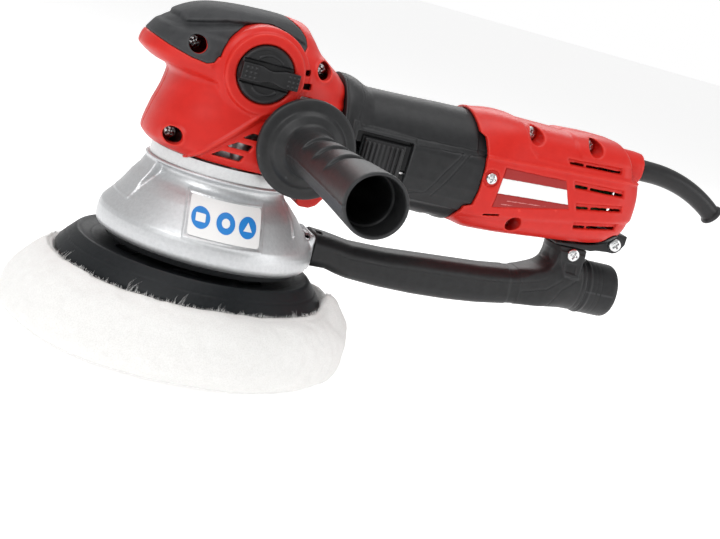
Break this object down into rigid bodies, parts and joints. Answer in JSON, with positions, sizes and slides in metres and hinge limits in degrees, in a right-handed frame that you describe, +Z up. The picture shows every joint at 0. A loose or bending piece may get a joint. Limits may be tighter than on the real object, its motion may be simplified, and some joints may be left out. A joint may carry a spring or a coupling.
{
  "type": "dual action polisher",
  "caption": "Corded gear-driven polisher: round wool-covered pad under a silver dust bell, red head and tail on a black motor tube, side handle, mode knob and dust extraction tube.",
  "frame": {"origin": "middle of the bonnet's flat working face, on the main spindle's axis", "axes": "+Z up along the spindle, away from the work; +X along the motor to the tail; -Y to the side handle and the mode knob"},
  "size_m": [0.4085, 0.2692, 0.1885],
  "materials": {
    "red_casing": "fine satin texture",
    "soft_grip": "matt",
    "black_plastic": "fine spark texture",
    "knob_plastic": "satin",
    "cast_aluminium": "silver paint over a fine casting",
    "gearbox_aluminium": "as cast",
    "zinc_screw": "bright zinc",
    "ground_steel": "ground",
    "gear_steel": "hardened",
    "lamination": "varnished stack",
    "copper_wire": "enamelled copper",
    "brush_brass": "pressed brass",
    "carbon": "sintered carbon",
    "circuit_board": "potted board",
    "dial_plastic": "ribbed",
    "white_label": "printed film",
    "pad_rubber": "semi-matt with wool dust",
    "pad_foam": "closed cell foam",
    "hook_cloth": "woven hooks",
    "wool": "long pile lambswool"
  },
  "bodies": {
    "housing": {"head_casing_left": "red_casing", "head_casing_right": "red_casing", "head_soft_grip": "soft_grip", "head_screws": "zinc_screw", "gearbox_housing": "gearbox_aluminium", "bell_shroud": "cast_aluminium", "bell_screws": "zinc_screw", "shroud_seal": "pad_rubber", "bell_sticker": "white_label", "motor_housing": "black_plastic", "tail_casing_left": "red_casing", "tail_casing_right": "red_casing", "tail_screws": "zinc_screw", "label_plate": "white_label", "cord_sleeve": "soft_grip", "cord_clamp": "black_plastic", "stator_core": "lamination", "field_coils": "copper_wire", "brush_holders": "brush_brass", "carbon_brushes": "carbon", "brush_springs": "ground_steel", "front_motor_bearing": "ground_steel", "rear_motor_bearing": "ground_steel", "lower_spindle_bearing": "ground_steel", "upper_spindle_bearing": "ground_steel", "switch_body": "black_plastic", "speed_module": "circuit_board", "side_handle_grip": "black_plastic", "side_handle_stud": "zinc_screw", "extraction_tube": "black_plastic", "hose_port": "black_plastic", "clamp_bracket": "black_plastic", "clamp_screws": "zinc_screw"},
    "armature": {"armature_shaft": "ground_steel", "armature_core": "lamination", "armature_windings": "copper_wire", "commutator": "brush_brass", "cooling_fan": "black_plastic", "bevel_pinion": "gear_steel"},
    "spindle": {"spindle_shaft": "ground_steel", "crown_gear": "gear_steel", "eccentric_hub": "gear_steel", "pad_bearing": "ground_steel", "counterweight": "gear_steel"},
    "pad": {"pad_spindle": "ground_steel", "backing_plate": "pad_rubber", "pad_foam": "pad_foam", "hook_layer": "hook_cloth", "pad_bolt": "zinc_screw", "wool_bonnet": "wool"},
    "mode_selector": {"mode_knob": "knob_plastic", "mode_shaft": "ground_steel"},
    "lock_rod": {"mode_lock_rod": "ground_steel"},
    "power_switch": {"slide_button": "knob_plastic", "slide_link": "ground_steel"},
    "speed_wheel": {"speed_dial": "dial_plastic"}
  },
  "joints": [
    {"name": "spindle_spin", "type": "hinge", "parent": "housing", "child": "spindle", "pos_m": [0, 0, 0.11], "axis": [0, 0, 1], "continuous": true},
    {"name": "pad_spin", "type": "hinge", "parent": "spindle", "child": "pad", "pos_m": [-0.0025, 0, 0.07], "axis": [0, 0, 1], "continuous": true},
    {"name": "armature_spin", "type": "hinge", "parent": "housing", "child": "armature", "pos_m": [0.1, 0, 0.1328], "axis": [1, 0, 0], "continuous": true},
    {"name": "mode_turn", "type": "hinge", "parent": "housing", "child": "mode_selector", "pos_m": [0, -0.045, 0.1587], "axis": [0, -1, 0], "range_deg": [0, 90]},
    {"name": "lock_rod_slide", "type": "slide", "parent": "housing", "child": "lock_rod", "axis": [0, 0, -1], "range_m": [0, 0.0021]},
    {"name": "power_slide", "type": "slide", "parent": "housing", "child": "power_switch", "axis": [-1, 0, 0], "range_m": [0, 0.0048]},
    {"name": "speed_turn", "type": "hinge", "parent": "housing", "child": "speed_wheel", "pos_m": [0.2305, 0.013, 0.134], "axis": [0, 1, 0], "range_deg": [-135, 135]}
  ],
  "couplings": [
    {"joint": "armature_spin", "follows": "spindle_spin", "ratio": 3.3636},
    {"joint": "lock_rod_slide", "follows": "mode_turn", "m_per_rad": 0.0012732}
  ]
}
